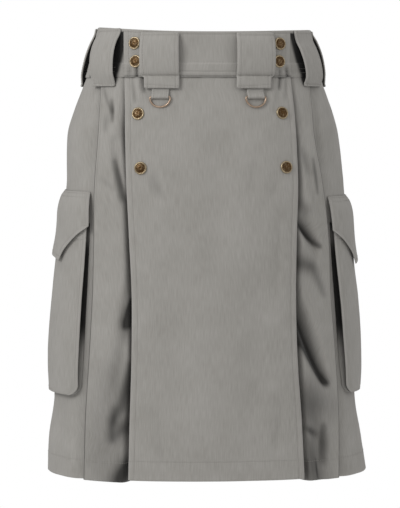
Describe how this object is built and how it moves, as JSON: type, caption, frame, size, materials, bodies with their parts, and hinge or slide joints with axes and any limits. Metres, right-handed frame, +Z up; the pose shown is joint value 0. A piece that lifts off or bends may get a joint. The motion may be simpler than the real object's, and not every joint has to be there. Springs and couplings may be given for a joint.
{
  "type": "utility kilt",
  "caption": "Knee-length wrap kilt in heavy cotton twill, as worn: a flat snapped front apron, knife pleats, wide belt loops, hanging D-rings and flapped cargo pockets.",
  "frame": {"origin": "middle of the waist opening at mid height of the waistband, where the wearer holds the kilt up", "axes": "+Z up the body from hem to waist, -Y the front with the apron, +X the side on the right of a viewer who faces the front"},
  "size_m": [0.4531, 0.3601, 0.622],
  "materials": {
    "cotton_twill": "khaki grey heavy cotton twill, washed, matt",
    "snap_brass": "antique brass ring snaps, darkened, satin",
    "ring_brass": "antique brass wire, worn bright, satin"
  },
  "bodies": {
    "kilt": {"waistband": "cotton_twill", "apron_waistband": "cotton_twill", "apron": "cotton_twill", "under_apron": "cotton_twill", "front_pleat_side_panel_left": "cotton_twill", "front_pleat_side_panel_right": "cotton_twill", "back_pleats_left": "cotton_twill", "back_pleats_right": "cotton_twill", "belt_loop_front_left": "cotton_twill", "belt_loop_front_right": "cotton_twill", "belt_loop_front_side_left": "cotton_twill", "belt_loop_front_side_right": "cotton_twill", "belt_loop_side_left": "cotton_twill", "belt_loop_side_right": "cotton_twill", "belt_loop_back_left": "cotton_twill", "belt_loop_back_right": "cotton_twill", "d_ring_tab_left": "cotton_twill", "d_ring_tab_right": "cotton_twill", "snap_left_1": "snap_brass", "snap_left_2": "snap_brass", "snap_left_3": "snap_brass", "snap_left_4": "snap_brass", "snap_right_1": "snap_brass", "snap_right_2": "snap_brass", "snap_right_3": "snap_brass", "snap_right_4": "snap_brass", "pocket_face_left": "cotton_twill", "pocket_gusset_left": "cotton_twill", "pocket_face_right": "cotton_twill", "pocket_gusset_right": "cotton_twill", "pocket_flap_left": "cotton_twill", "pocket_flap_right": "cotton_twill"},
    "ring_left": {"d_ring_left": "ring_brass"},
    "ring_right": {"d_ring_right": "ring_brass"}
  },
  "joints": [
    {"name": "ring_left_swing", "type": "hinge", "parent": "kilt", "child": "ring_left", "pos_m": [-0.06542, -0.12563, -0.05785], "axis": [-0.9801, 0.1985, 0], "range_deg": [0, 150]},
    {"name": "ring_right_swing", "type": "hinge", "parent": "kilt", "child": "ring_right", "pos_m": [0.06542, -0.12547, -0.05786], "axis": [-0.9803, -0.1975, 0], "range_deg": [0, 150]}
  ]
}
